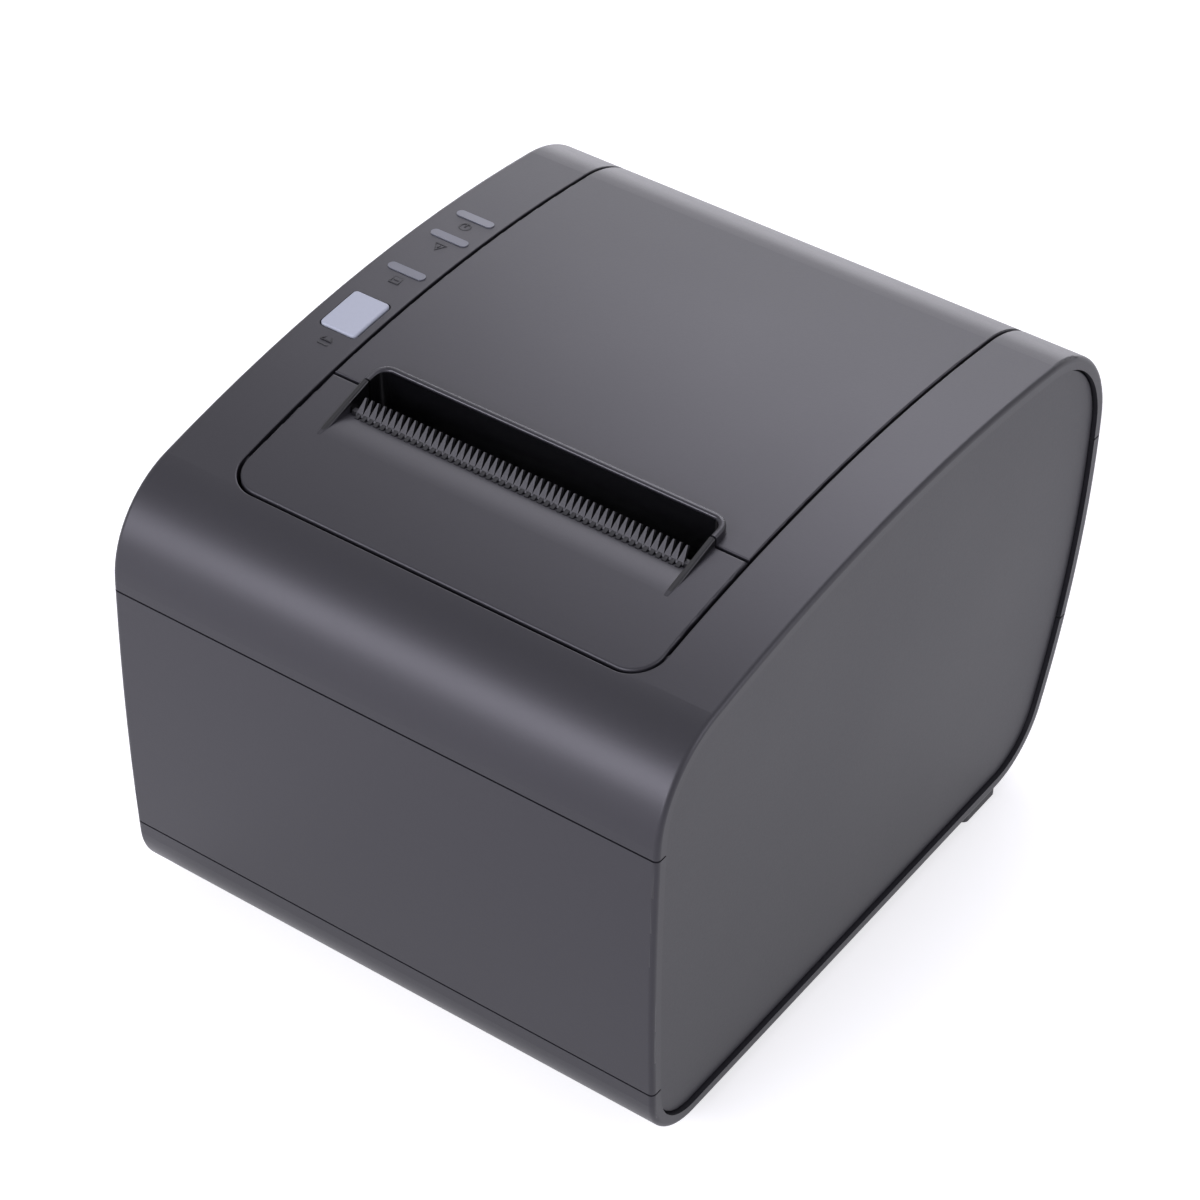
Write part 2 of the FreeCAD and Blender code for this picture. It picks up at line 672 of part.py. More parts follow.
def make_tear_comb():
    body = doc.addObject("PartDesign::Body", "comb_body")
    plane = [item for item in body.Origin.OriginFeatures if item.Role == "XY_Plane"][0]
    axis = [item for item in body.Origin.OriginFeatures if item.Role == "X_Axis"][0]
    tooth = body.newObject("Sketcher::SketchObject", "tooth_outline")
    tooth.AttachmentSupport = [(plane, "")]
    tooth.MapMode = "FlatFace"
    first = "-(comb_teeth - 1) / 2 * comb_pitch"
    points = [(f"{first} - comb_pitch / 2", "-0.6"), (f"{first} + comb_pitch / 2", "-0.6"),
              (f"{first} + comb_pitch / 2", "-0.2"), (f"{first} + 0.16", "tooth_length"),
              (f"{first} - 0.16", "tooth_length"), (f"{first} - comb_pitch / 2", "-0.2")]
    spots = [Vector(size(u), size(v), 0) for u, v in points]
    for start, end in zip(spots, spots[1:] + spots[:1]):
        tooth.addGeometry(Part.LineSegment(start, end))
    for index, texts in enumerate(points):
        tooth.addConstraint(Sketcher.Constraint("Coincident", index, 2, (index + 1) % len(points), 1))
        for kind, text in zip(("DistanceX", "DistanceY"), texts):
            number = tooth.addConstraint(Sketcher.Constraint(kind, -1, 1, index, 1, size(text)))
            tooth.setExpression(f"Constraints[{number}]", cells(text))
    pad = body.newObject("PartDesign::Pad", "tooth_pad")
    pad.Profile = tooth
    pad.setExpression("Length", cells("tooth_thick"))
    doc.recompute()
    pattern = body.newObject("PartDesign::LinearPattern", "tooth_row")
    pattern.Originals = [pad]
    pattern.Direction = (axis, [""])
    pattern.setExpression("Length", cells("(comb_teeth - 1) * comb_pitch"))
    pattern.Occurrences = int(SIZES["comb_teeth"])
    body.Tip = pattern
    body.Placement = FreeCAD.Placement(Vector(0, size("cover_lip_y + 0.75"), size("comb_foot_z")),
                                       FreeCAD.Rotation(Vector(1, 0, 0), size("tooth_lean")))
    bar = block("comb_bar", both("comb_half"), ("cover_lip_y + 0.05", "cover_lip_y + 1.25"),
                ("113", "comb_foot_z + comb_bar_rise"))
    node("tear_comb", join("comb_whole", bar, body))


def make_band_trim():
    for label, y in WINDOWS.items():
        lens = capsule(f"{label}_prism", y, "0", ("panel_board_z + 3.2", "130"))
        node(label, overlap(f"{label}_lens", lens, trim_outer))
    cap = overlap("button_cap", button_prism("button_prism", "0", ("115.2", "130")), button_outer)
    crest = size(top_z("button_y")) - 1.5
    soft = rounded("button_soft", cap, "0.5", lambda e, m: m.z > crest and e.BoundBox.ZLength < 1.5)
    flange = block("button_flange", ("band_x - button_width / 2", "band_x + button_width / 2"),
                   ("button_y - button_depth / 2 - 1.2", "button_y + button_depth / 2 + 1.2"),
                   ("115.2", "116"))
    node("feed_button", join("button_whole", soft, flange))
    board = block("panel_board_block", ("band_x - 4.8", "band_x + 4.8"), ("-28", "39"),
                  ("panel_board_z", "panel_board_z + 1.2"))
    node("panel_board", board)
    lamps = [block(f"lamp_{index}", ("band_x - 1.6", "band_x + 1.6"), (f"{y} - 0.8", f"{y} + 0.8"),
                   ("panel_board_z + 1.25", "panel_board_z + 2.6"))
             for index, y in enumerate(WINDOWS.values())]
    node("status_lamps", group("lamp_group", *lamps))
    base = block("switch_base", ("band_x - 3", "band_x + 3"), ("button_y - 3", "button_y + 3"),
                 ("panel_board_z + 1.25", "panel_board_z + 3.5"))
    plunger = rod("switch_plunger", "z", ("panel_board_z + 3.4", "panel_board_z + 3.8"),
                  ("band_x", "button_y"), "1.75")
    node("feed_switch", join("feed_switch_whole", base, plunger))


def trough(name, radius, half, top):
    round_part = rod(name + "_round", "x", both(half), ("bucket_y", "bucket_z"), radius)
    upper = block(name + "_upper", both(half), (f"bucket_y - ({radius})", f"bucket_y + ({radius})"),
                  ("bucket_z", top))
    return join(name, round_part, upper)


def make_bucket():
    outer_solid = trough("bucket_outer", "roll_space + bucket_wall", "roll_half + bucket_wall", "bucket_top")
    outer_cap = block("bucket_cap", both(FAR), (-FAR, FAR), ("0", "bucket_top"))
    outer_cut = overlap("bucket_outer_low", outer_solid, outer_cap)
    inner_solid = trough("bucket_inner", "roll_space", "roll_half", FAR)
    extras = []
    for side, x in mirrored_x(("roll_half + bucket_wall - 0.5", "post_x")):
        extras.append(block(f"bucket_flange_{side}", x, ("-6", "48"), ("bucket_top - 2", "bucket_top")))
    for side, x in mirrored_x(("post_x - 2", "post_x")):
        extras.append(block(f"bucket_skirt_{side}", x, ("0", "48"),
                            ("foot_height + wall + 0.05", "bucket_top - 1")))
    node("paper_bucket", cut("bucket_cut", join("bucket_whole", outer_cut, *extras), inner_solid))
    sensor = block("sensor_block", ("-4", "4"), ("bucket_y - roll_space - bucket_wall - 3.2",
                                                 "bucket_y - roll_space - bucket_wall - 0.1"), ("76", "84"))
    node("paper_sensor", sensor)


def idler_place():
    reach = "gear_module * (platen_teeth + idler_teeth) / 2"
    return f"platen_y - {reach} * sin(idler_lean)", f"platen_z - {reach} * cos(idler_lean)"


def pinion_place():
    reach = "gear_module * (idler_teeth + pinion_teeth) / 2"
    y, z = idler_place()
    return f"{y} - {reach} * sin(pinion_lean)", f"{z} - {reach} * cos(pinion_lean)"


def gear_solid(module, teeth, bore, width):
    """Involute gear about Z with a tooth centred on +X; each flank is an arc through three points."""
    pitch = module * teeth / 2
    base = pitch * math.cos(math.radians(20))
    tip = pitch + 0.9 * module
    root = pitch - 1.15 * module

    def roll_angle(radius):
        slant = math.acos(min(1, base / radius))
        return math.tan(slant) - slant
    half_pitch = (math.pi * module / 2 - size("gear_play")) / (2 * pitch)

    def point(radius, centre, side):
        half = half_pitch + roll_angle(pitch) - roll_angle(max(radius, base))
        angle = centre + side * half
        return Vector(radius * math.cos(angle), radius * math.sin(angle), 0)
    start = max(base, root)
    middle = (start + tip) / 2
    edges = []
    step = 2 * math.pi / teeth
    for index in range(teeth):
        centre = index * step
        foot_in, foot_out = point(root, centre, -1), point(root, centre, 1)
        if root < base:
            edges.append(Part.LineSegment(foot_in, point(start, centre, -1)).toShape())
        flank = [point(radius, centre, -1) for radius in (start, middle, tip)]
        edges.append(Part.Arc(*flank).toShape())
        crest = Vector(tip * math.cos(centre), tip * math.sin(centre), 0)
        edges.append(Part.Arc(point(tip, centre, -1), crest, point(tip, centre, 1)).toShape())
        edges.append(Part.Arc(*[point(radius, centre, 1) for radius in (tip, middle, start)]).toShape())
        if root < base:
            edges.append(Part.LineSegment(point(start, centre, 1), foot_out).toShape())
        gap = centre + step / 2
        valley = Vector(root * math.cos(gap), root * math.sin(gap), 0)
        edges.append(Part.Arc(foot_out, valley, point(root, centre + step, -1)).toShape())
    disc = Part.Face(Part.Wire(edges)).extrude(Vector(0, 0, width))
    return disc.cut(Part.makeCylinder(bore, width + 2, Vector(0, 0, -1)))


def gear(name, shape, turn, spot, degrees):
    """Gear shape put in its place, turned about its own axis by degrees."""
    item = doc.addObject("Part::Feature", name)
    item.Shape = shape
    item.Placement = FreeCAD.Placement(Vector(*[size(place) for place in spot]),
                                       turn * FreeCAD.Rotation(Vector(0, 0, 1), degrees))
    return item


def make_feed_gears():
    teeth = {name: int(SIZES[name + "_teeth"]) for name in ("platen", "idler", "pinion")}
    low = "gear_inner_x - gear_width"
    width = size("gear_width")
    module = size("gear_module")
    platen, idler, pinion = ("platen_y", "platen_z"), idler_place(), pinion_place()
    to_idler = 270 - size("idler_lean")
    to_pinion = 270 - size("pinion_lean")
    idler_turn = to_idler + 180 + 180 / teeth["idler"]
    behind = (to_pinion - idler_turn) % (360 / teeth["idler"])
    pinion_turn = to_pinion + 180 + behind * teeth["idler"] / teeth["pinion"] + 180 / teeth["pinion"]
    platen_wheel = gear_solid(module, teeth["platen"], size("shaft_radius + 0.02"), width)
    node("platen_gear", gear("platen_wheel", platen_wheel, SIDE_TURN, (low, *platen), to_idler))
    node("idler_gear", gear("idler_wheel", gear_solid(module, teeth["idler"], 2.05, width),
                            SIDE_TURN, (low, *idler), idler_turn))
    wheel = gear("pinion_wheel", gear_solid(module, teeth["pinion"], 0.8, width),
                 SIDE_TURN, (low, *pinion), pinion_turn)
    stub = rod("pinion_stub", "x", (low, "-41"), pinion, "1")
    node("motor_pinion", join("pinion_whole", wheel, stub))
    node("idler_axle", rod("idler_pin", "x", (f"{low} - 0.6", "-frame_half - 0.1"), idler, "2"))


def make_platen():
    spot = ("platen_y", "platen_z")
    sleeve = rod("platen_sleeve", "x", both("platen_half"), spot, "platen_radius")
    node("platen_roller", cut("platen_tube", sleeve,
                              rod("platen_core", "x", both(FAR), spot, "shaft_radius + 0.02")))
    axle_span = ("gear_inner_x - gear_width - 0.4", "48.6")
    node("platen_shaft", rod("platen_axle", "x", axle_span, spot, "shaft_radius"))
    bushes = []
    for side, x in mirrored_x(("42.6", "frame_half + plate_thick + 0.3")):
        ring = rod(f"bush_ring_{side}", "x", x, spot, "bush_radius")
        bushes.append(cut(f"bush_{side}", ring, rod(f"bush_bore_{side}", "x", both(FAR), spot,
                                                    "shaft_radius + running_gap")))
    node("platen_bushes", group("bush_pair", *bushes))
    plate = block("holder_plate", both("44.5"), ("rim_back_y + 0.2", "-7"), ("107.4", "slot_wall_low + 0.6"))
    arms = [block(f"holder_arm_{side}", x, ("-27", "-13"), ("90", "107.5"))
            for side, x in mirrored_x(("43", "44.5"))]
    bores = [rod("holder_bush_bore", "x", both(FAR), spot, "bush_radius + 0.02")]
    bores += [rod(f"holder_screw_hole_{index}", "z", ("100", "110"), (x, "-11"), "1.6")
              for index, x in enumerate(("-36", "-12", "12", "36"))]
    node("platen_holder", cut("holder_cut", join("holder_whole", plate, *arms), *bores))
    edge = outline("fixed_blade_outline", [("-27.8", "106.3"), ("-27.2", "106.3"), ("-14.5", "106.3"),
                                           ("-14.5", "107.35"), ("-25.5", "107.35")])
    node("fixed_blade", prism("fixed_blade_bar", edge, both("42.6")))


def make_frame():
    plates = []
    side = outline("frame_side", [("-58", "frame_low"), ("-14", "frame_low"), ("-14", "84"), ("-11", "90"),
                                  ("-11", "99"), ("-28", "99"), ("-29", "frame_top"), ("-58", "frame_top")])
    for name, x in mirrored_x(("frame_half", "frame_half + plate_thick")):
        plates.append(prism(f"frame_plate_{name}", side, x))
    inside = both("frame_half + 0.5")
    plates.append(block("frame_floor", inside, ("-58", "-14"), ("frame_low", "frame_low + plate_thick")))
    plates.append(block("spring_plate", inside, ("-41.5", "-40"), ("84", "frame_top")))
    plates.append(block("frame_tie", inside, ("-58", "-56.5"), ("frame_low", "40")))
    whole = join("frame_whole", *plates)
    notch = outline("notch_outline", [("platen_y - bush_radius - 0.1", "platen_z"),
                                      ("platen_y + bush_radius + 0.1", "platen_z"),
                                      ("platen_y + bush_radius + 4", "110"),
                                      ("platen_y - bush_radius - 0.4", "110")])
    tools = [prism("notch", notch, both(FAR)),
             rod("notch_round", "x", both(FAR), ("platen_y", "platen_z"), "bush_radius + 0.1"),
             rod("head_rod_hole", "x", both(FAR), ("head_rod_y", "head_rod_z"), "2.02"),
             rod("motor_hole", "x", (-FAR, "-frame_half + 1"), pinion_place(), "4"),
             rod("idler_hole", "x", (-FAR, "-frame_half + 1"), idler_place(), "2.02")]
    tools += [rod(f"frame_hole_{index}", "z", ("10", "30"), spot, "1.7")
              for index, spot in enumerate(frame_screw_places())]
    node("mechanism_frame", cut("frame_cut", whole, *tools))


def make_feed_motor():
    spot = pinion_place()
    can = rod("motor_can", "x", ("-frame_half + 0.1", "-24"), spot, "motor_radius")
    nose = rod("motor_nose", "x", ("-frame_half - 1.3", "-frame_half + 1"), spot, "3.9")
    bore = rod("motor_bore", "x", (-FAR, "-40"), spot, "1.06")
    node("feed_motor", cut("motor_cut", join("motor_whole", can, nose), bore))


def make_head():
    spot = ("head_rod_y", "head_rod_z")
    node("head_rod", rod("head_rod_bar", "x", both("frame_half + plate_thick"), spot, "2"))
    sink = block("sink_block", both("41.5"), ("-35", "-28.9"), ("79", "101"))
    slots = [block(f"sink_slot_{index}", (f"{x} - 1", f"{x} + 1"), ("-36", "-32.5"), ("86", "92"))
             for index, x in enumerate(range(-36, 37, 6))]
    bore = rod("sink_bore", "x", both(FAR), spot, "2 + running_gap")
    node("heat_sink", cut("sink_cut", sink, bore, *slots))
    face = outline("head_outline", [("-28.85", "86"), ("-27.9", "86"), ("-27.9", "93"), ("-27.5", "94.5"),
                                    ("-27.5", "98.5"), ("-27.9", "102.5"), ("-28.85", "102.5")])
    node("print_head", prism("head_bar", face, both("41.5")))
    springs = []
    for index, x in enumerate(("-22", "22")):
        sleeve = rod(f"spring_sleeve_{index}", "y", ("-39.95", "-35.05"), (x, "97"), "2.5")
        springs.append(cut(f"spring_{index}", sleeve,
                           rod(f"spring_hole_{index}", "y", (-FAR, 0), (x, "97"), "1.8")))
    node("head_springs", group("spring_pair", *springs))


def make_cutter():
    spot = ("cutter_x", "cutter_y")
    top = "blade_z + blade_thick"
    floor = block("cutter_floor", both("47.5"), ("-57", "-34"), ("frame_top + 0.1", "blade_z - 0.25"))
    rails = [block(f"cutter_rail_{side}", x, ("-57", "-34"), ("frame_top + 0.1", f"{top} + 0.15"))
             for side, x in mirrored_x(("blade_half + 0.4", "47.5"))]
    node("cutter_base", cut("cutter_base_cut", join("cutter_base_whole", floor, *rails),
                            rod("cutter_floor_hole", "z", ("90", "120"), spot, "2.5")))
    guide = block("guide_plate", both("47.5"), ("-56", "-39"), (f"{top} + 0.2", f"{top} + 1.4"))
    node("blade_guide", cut("guide_cut", guide, rod("guide_hole", "z", ("90", "120"), spot, "2.5")))
    pitch = "pi * cutter_module"
    line_x = "cutter_x + cutter_module * cutter_teeth / 2"
    root_x = f"{line_x} + 1.15 * cutter_module"
    tip_x = f"{line_x} - 0.9 * cutter_module"
    rack = []
    for index in range(-6, 2):
        middle = f"cutter_y + {index} * {pitch}"
        rack += [(root_x, f"{middle} - 0.85"), (tip_x, f"{middle} - 0.24"),
                 (tip_x, f"{middle} + 0.24"), (root_x, f"{middle} + 0.85")]
    points = [("-blade_half", "-60.5"), ("cutter_x - 5.2", "-60.5"), ("cutter_x - 5.2", "cutter_y + 5.5"),
              (root_x, "cutter_y + 5.5"), *reversed(rack), (root_x, "-60.5"), ("blade_half", "-60.5"),
              ("blade_half", "-33.2"), ("1", "-36.5"), ("0", "-37.5"), ("-1", "-36.5"),
              ("-blade_half", "-33.2")]
    flat = outline("blade_outline", points, AXIS_TURN["z"])
    node("cutter_blade", prism("blade_plate", flat, ("blade_z", top)))
    wheel = gear("cutter_wheel", gear_solid(size("cutter_module"), int(SIZES["cutter_teeth"]), 1,
                                            size("blade_thick")),
                 AXIS_TURN["z"], (*spot, "blade_z"), 180 / SIZES["cutter_teeth"])
    stem = rod("cutter_stem", "z", ("95.5", "110"), spot, "2")
    node("cutter_pinion", join("cutter_pinion_whole", wheel, stem))
    rim = rod("knob_rim", "z", ("107.6", "110.2"), spot, "6")
    flutes = [rod(f"knob_flute_{index}", "z", ("107", "111"),
                  (f"cutter_x + 6.3 * cos({index * 30})", f"cutter_y + 6.3 * sin({index * 30})"), "0.9")
              for index in range(12)]
    node("thumb_wheel", cut("knob_cut", rim, rod("knob_bore", "z", ("100", "120"), spot, "2.02"), *flutes))
    can = rod("cutter_can", "z", ("84", "frame_top"), spot, "6.5")
    bore = rod("cutter_can_bore", "z", ("95", "120"), spot, "2.06")
    node("cutter_motor", cut("cutter_motor_cut", can, bore))


def socket_span(x, half):
    return f"{x} - {half}", f"{x} + {half}"


BOARD_TOP = "board_z + board_thick + 0.05"
DEEP = ("socket_front_y", "socket_rear_y")


def make_electronics():
    board = block("board_block", both("board_half"), ("-18", "board_rear_y"),
                  ("board_z", "board_z + board_thick"))
    holes = [rod(f"board_hole_{index}", "z", ("5", "12"), spot, "1.7")
             for index, spot in enumerate(board_screw_places())]
    node("main_board", cut("board_cut", board, *holes))
    chips = [block("chip_main", ("-8", "8"), ("18", "34"), (BOARD_TOP, f"{BOARD_TOP} + 1.6")),
             block("chip_memory", ("18", "28"), ("20", "30"), (BOARD_TOP, f"{BOARD_TOP} + 1.4")),
             block("head_header", ("-20", "20"), ("-16", "-11"), (BOARD_TOP, f"{BOARD_TOP} + 6")),
             block("motor_header", ("-40", "-28"), ("-10", "-5"), (BOARD_TOP, f"{BOARD_TOP} + 7"))]
    chips += [rod(f"capacitor_{index}", "z", (BOARD_TOP, f"{BOARD_TOP} + 9"), ("-36", y), "4")
              for index, y in enumerate(("4", "14"))]
    node("board_components", group("component_group", *chips))
    low = BOARD_TOP
    usb = block("usb_block", socket_span("-18", "6"), DEEP, (low, f"{low} + 10.9"))
    usb_hole = block("usb_hole", socket_span("-18", "4.25"), ("53", "70"), (f"{low} + 1.5", f"{low} + 9.4"))
    tongue = block("usb_tongue", socket_span("-18", "2.8"), ("52.5", "63"), (f"{low} + 3.9", f"{low} + 7"))
    node("usb_socket", join("usb_whole", cut("usb_shell", usb, usb_hole), tongue))
    for label, x, half, tall, wide, latch in (("network_socket", "6", "8", "13.4", "5.9", "3.2"),
                                              ("drawer_socket", "27", "6.6", "11.6", "4.85", "1.7")):
        shell = block(f"{label}_block", socket_span(x, half), DEEP, (low, f"{low} + {tall}"))
        hole = block(f"{label}_hole", socket_span(x, wide), ("52", "70"), (f"{low} + 1.6", f"{low} + 8.6"))
        notch = block(f"{label}_latch", socket_span(x, latch), ("52", "70"), (f"{low} + 8", f"{low} + 10.3"))
        node(label, cut(f"{label}_cut", shell, hole, notch))
    jack_spot = ("-40", f"{low} + 6.2")
    jack = block("jack_block", socket_span("-40", "7"), ("socket_front_y", "plate_y - 0.2"),
                 (low, f"{low} + 12.4"))
    nose = rod("jack_nose", "y", ("plate_y - 1", "socket_rear_y + 0.4"), jack_spot, "6")
    well = rod("jack_well", "y", ("54", "70"), jack_spot, "4.7")
    pins = [rod(f"jack_pin_{index}", "y", ("53", "61"),
                (f"-40 + 2.2 * cos({angle})", f"{low} + 6.2 + 2.2 * sin({angle})"), "0.6")
            for index, angle in enumerate((90, 210, 330))]
    node("power_jack", join("jack_whole", cut("jack_shell", join("jack_solid", jack, nose), well), *pins))
    plate = block("socket_plate_block", both("bay_half + 1.4"), ("plate_y", "plate_y + 1.5"),
                  ("board_z + board_thick + 0.2", "bay_high + 1.4"))
    through = ("plate_y - 2", "plate_y + 4")
    tools = [block("plate_usb", socket_span("-18", "6.2"), through, ("0", f"{low} + 11.1")),
             block("plate_network", socket_span("6", "8.2"), through, ("0", f"{low} + 13.6")),
             block("plate_drawer", socket_span("27", "6.8"), through, ("0", f"{low} + 11.8")),
             rod("plate_jack", "y", through, jack_spot, "6.2"),
             block("plate_switch", ("39.3", "48.7"), through, ("11.4", "25.2"))]
    node("socket_plate", cut("socket_plate_cut", plate, *tools))


def make_power_switch():
    middle, pivot_y, pivot_z = "44", "plate_y", "18.3"
    bezel = block("switch_bezel", socket_span(middle, "5.25"), ("plate_y + 1.55", "plate_y + 3"),
                  ("10.8", "25.8"))
    body = block("switch_body", socket_span(middle, "4.5"), ("51", "plate_y + 2"), ("11.6", "25"))
    well = block("switch_well", socket_span(middle, "3.5"), ("57.5", "70"), ("12.4", "24.2"))
    pin_hole = rod("switch_pin_hole", "x", socket_span(middle, "4"), (pivot_y, pivot_z), "0.85")
    node("switch_housing", cut("switch_cut", join("switch_whole", bezel, body), well, pin_hole))
    corners = ((-2.5, -1.5), (0.5, -4.9), (3.6, -4.9), (2.2, 0), (3.6, 4.9), (0.5, 4.9), (-2.5, 1.5))
    tilt = math.radians(-10)
    points = []
    for y, z in corners:
        turned_y = y * math.cos(tilt) - z * math.sin(tilt)
        turned_z = y * math.sin(tilt) + z * math.cos(tilt)
        points.append((f"{pivot_y} + ({turned_y:.3f})", f"{pivot_z} + ({turned_z:.3f})"))
    paddle = prism("rocker_paddle", outline("rocker_outline", points), socket_span(middle, "3.2"))
    stub = rod("rocker_stub", "x", socket_span(middle, "3.9"), (pivot_y, pivot_z), "0.8")
    node("power_rocker", join("rocker_whole", paddle, stub))


def screw(name, spot, head, tip, radius, upward):
    """Pan-head screw along Z with a cross recess; head is where the head meets what it holds."""
    tall = "1.8"
    far_end = f"({head}) - {tall}" if upward else f"({head}) + {tall}"
    span = (far_end, head) if upward else (head, far_end)
    shank_span = (head, tip) if upward else (tip, head)
    cap = rod(name + "_cap", "z", span, spot, "2.8")
    shank = rod(name + "_shank", "z", shank_span, spot, radius)
    before, after = ("0.1", "1") if upward else ("1", "0.1")
    depth = (f"({far_end}) - {before}", f"({far_end}) + {after}")
    x, y = spot
    cross = [block(f"{name}_cross_a", (f"{x} - 1.7", f"{x} + 1.7"), (f"{y} - 0.35", f"{y} + 0.35"), depth),
             block(f"{name}_cross_b", (f"{x} - 0.35", f"{x} + 0.35"), (f"{y} - 1.7", f"{y} + 1.7"), depth)]
    return cut(name, join(name + "_whole", cap, shank), *cross)


def make_screws():
    groups = {
        "case_screws": (post_places(), "6", "24", "1.45", True),
        "board_screws": (board_screw_places(), "board_z + board_thick", "4.7", "1.2", False),
        "mechanism_screws": (frame_screw_places(), "frame_low + plate_thick", "12", "1.45", False),
        "holder_screws": ([(x, "-11") for x in ("-36", "-12", "12", "36")], "107.4", "114", "1.25", True),
    }
    for label, (spots, head, tip, radius, upward) in groups.items():
        screws = [screw(f"{label}_{index}", spot, head, tip, radius, upward)
                  for index, spot in enumerate(spots)]
        node(label, group(label + "_group", *screws))


for make in (make_front_panel, make_rear_panel, make_side_panels, make_top_casing, make_feet,
             make_bottom_base, make_lid, make_cutter_cover, make_tear_comb, make_band_trim, make_bucket,
             make_feed_gears, make_platen, make_frame, make_feed_motor, make_head, make_cutter,
             make_electronics, make_power_switch, make_screws):
    make()
doc.recompute()

failed = [item.Name for item in doc.Objects if {"Invalid", "Error"} & set(item.State)]
failed += [item.Label for item in NODES if item.Shape.isNull() or not item.Shape.isValid()]
if failed:
    raise SystemExit(f"not built: {failed}")
for item in NODES:
    item.Shape.exportStep(f"parts/{item.Label}.step")
    print(item.Label, len(item.Shape.Solids), round(item.Shape.Volume, 1))
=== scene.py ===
import json
import math

import bpy
from mathutils import Matrix, Vector


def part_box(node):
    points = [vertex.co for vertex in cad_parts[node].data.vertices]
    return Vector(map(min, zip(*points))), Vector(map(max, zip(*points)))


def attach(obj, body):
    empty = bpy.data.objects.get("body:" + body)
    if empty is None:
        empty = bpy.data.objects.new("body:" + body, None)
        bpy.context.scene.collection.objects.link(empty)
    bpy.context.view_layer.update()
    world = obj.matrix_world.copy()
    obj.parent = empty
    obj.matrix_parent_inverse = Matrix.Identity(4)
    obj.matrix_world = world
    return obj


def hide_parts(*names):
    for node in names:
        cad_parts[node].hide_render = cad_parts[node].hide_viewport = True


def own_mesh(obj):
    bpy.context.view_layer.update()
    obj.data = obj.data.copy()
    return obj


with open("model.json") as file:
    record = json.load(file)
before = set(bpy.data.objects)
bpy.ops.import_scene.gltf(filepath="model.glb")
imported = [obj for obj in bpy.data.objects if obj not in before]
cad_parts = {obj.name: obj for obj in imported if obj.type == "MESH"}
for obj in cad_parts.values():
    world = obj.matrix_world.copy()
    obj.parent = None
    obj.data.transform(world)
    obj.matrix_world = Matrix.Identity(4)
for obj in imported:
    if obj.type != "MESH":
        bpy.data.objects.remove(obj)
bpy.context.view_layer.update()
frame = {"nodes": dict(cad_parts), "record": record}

# Places in metres: +X right seen from the front, +Y to the rear, +Z up
MM = 0.001
QUARTER = math.radians(90)

# Arched top of the case, and the middle of the signs on its left band
TOP_RADIUS = 380 * MM
TOP_CENTRE = Vector((0, 15 * MM, -258.4 * MM))
BAND_X = -60.75 * MM

# Paper slot
SLOT_HALF = 43.9 * MM
SLOT_FRONT = -36.75 * MM
SLOT_REAR = -25.15 * MM
SLOT_TOP = 120.8 * MM
# Near-black painted shade for the inside of the paper slot and the fins on the cutter cover
PAINTED_SHADE_BLACK = (0.0025, 0.0025, 0.003)
SLOT_POLISH = 0.18

# Rim behind the paper slot
RIM_FRONT = -25.4 * MM
RIM_REAR = -23.6 * MM
RIM_FOOT = 120.2 * MM
RIM_POLISH = 0.2

# Fins on the sloping cutter cover
COVER_SLOPE = 0.1414
COVER_HEIGHT = 123.25 * MM
FIN_PROUD = 0.12 * MM
FIN_INNER = 43.3 * MM
FIN_OUTER = 45.2 * MM
FIN_FRONT = -46.4 * MM
FIN_REAR = -30.2 * MM

# Sockets of a Mix node that mixes colours
MIX_FACTOR = 0
MIX_FIRST = 6
MIX_SECOND = 7
MIX_RESULT = 2


class Value:
    """A node socket that adds, multiplies and compares like a number."""

    def __init__(self, tree, socket):
        self.tree = tree
        self.socket = socket

    def make(self, kind, inputs, output=0, **settings):
        """New node of any kind; a Value given as an input is linked, anything else is set."""
        item = self.tree.nodes.new(kind)
        for name, setting in settings.items():
            setattr(item, name, setting)
        for name, given in inputs.items():
            if isinstance(given, Value):
                self.tree.links.new(given.socket, item.inputs[name])
            else:
                item.inputs[name].default_value = given
        return Value(self.tree, item.outputs[output])

    def _sum(self, operation, first, second):
        return self.make("ShaderNodeMath", {0: first, 1: second}, operation=operation)

    def __add__(self, other):
        return self._sum("ADD", self, other)

    def __radd__(self, other):
        return self._sum("ADD", other, self)

    def __sub__(self, other):
        return self._sum("SUBTRACT", self, other)

    def __rsub__(self, other):
        return self._sum("SUBTRACT", other, self)

    def __mul__(self, other):
        return self._sum("MULTIPLY", self, other)

    def __rmul__(self, other):
        return self._sum("MULTIPLY", other, self)

    def __gt__(self, other):
        return self._sum("GREATER_THAN", self, other)

    def __lt__(self, other):
        return self._sum("LESS_THAN", self, other)

    def feed(self, shader, name):
        """Links this value to a socket of the shader."""
        self.tree.links.new(self.socket, shader.inputs[name])


# Tools for finishes
def blank(name):
    """New material with its shader and the Value of its object coordinates."""
    look = bpy.data.materials.new(name)
    look.use_nodes = True
    tree = look.node_tree
    place = tree.nodes.new("ShaderNodeTexCoord")
    return look, tree.nodes["Principled BSDF"], Value(tree, place.outputs["Object"])


def even(shader, settings):
    """Sets the shader's own sockets that are the same all over the surface."""
    for name, setting in settings.items():
        shader.inputs[name].default_value = setting


def noise(place, scale, detail, stretch=None):
    """Noise from 0 to 1; stretch scales the place along each axis first."""
    if stretch:
        place = place.make("ShaderNodeMapping", {"Vector": place, "Scale": stretch})
    return place.make("ShaderNodeTexNoise", {"Vector": place, "Scale": scale, "Detail": detail})


def opaque(colour):
    """Red, green and blue with full alpha; a Value stays as it is."""
    return colour if isinstance(colour, Value) else (*colour, 1)


def between(factor, first, second):
    """Colour from first to second as the factor goes from 0 to 1."""
    inputs = {MIX_FACTOR: factor, MIX_FIRST: opaque(first), MIX_SECOND: opaque(second)}
    return factor.make("ShaderNodeMix", inputs, output=MIX_RESULT, data_type="RGBA")


